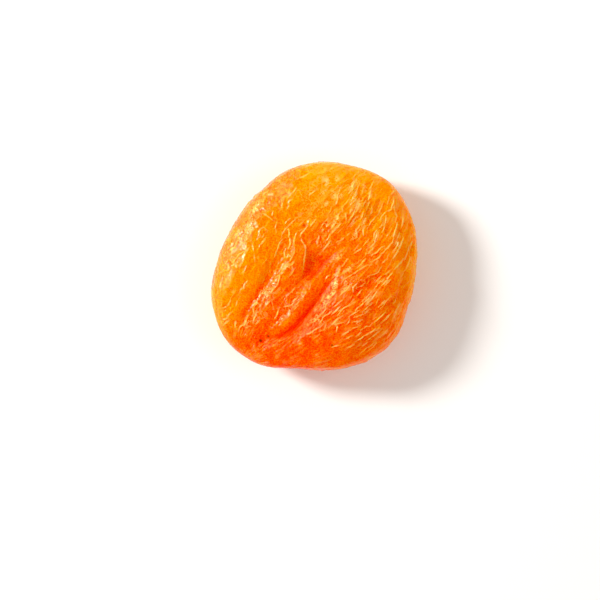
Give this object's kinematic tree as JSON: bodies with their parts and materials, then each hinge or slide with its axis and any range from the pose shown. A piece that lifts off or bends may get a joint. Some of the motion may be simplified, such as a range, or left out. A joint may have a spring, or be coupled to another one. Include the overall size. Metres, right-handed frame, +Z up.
{
  "type": "dried apricot",
  "caption": "Whole pitted dried apricot: a puffy, wrinkled oval cushion of fruit with a folded crease along its upper side, lying on a small flat spot.",
  "frame": {"origin": "on the flat spot that it rests on, under the middle of the fruit's outline", "axes": "+X along the crease from the stem end to the tip, +Z up out of the creased side, +Y across the crease"},
  "size_m": [0.038, 0.0329, 0.011],
  "materials": {
    "dried_flesh": "moist, leathery, slightly see-through skin with a soft uneven gloss"
  },
  "bodies": {
    "root": {"apricot": "dried_flesh"}
  },
  "joints": []
}
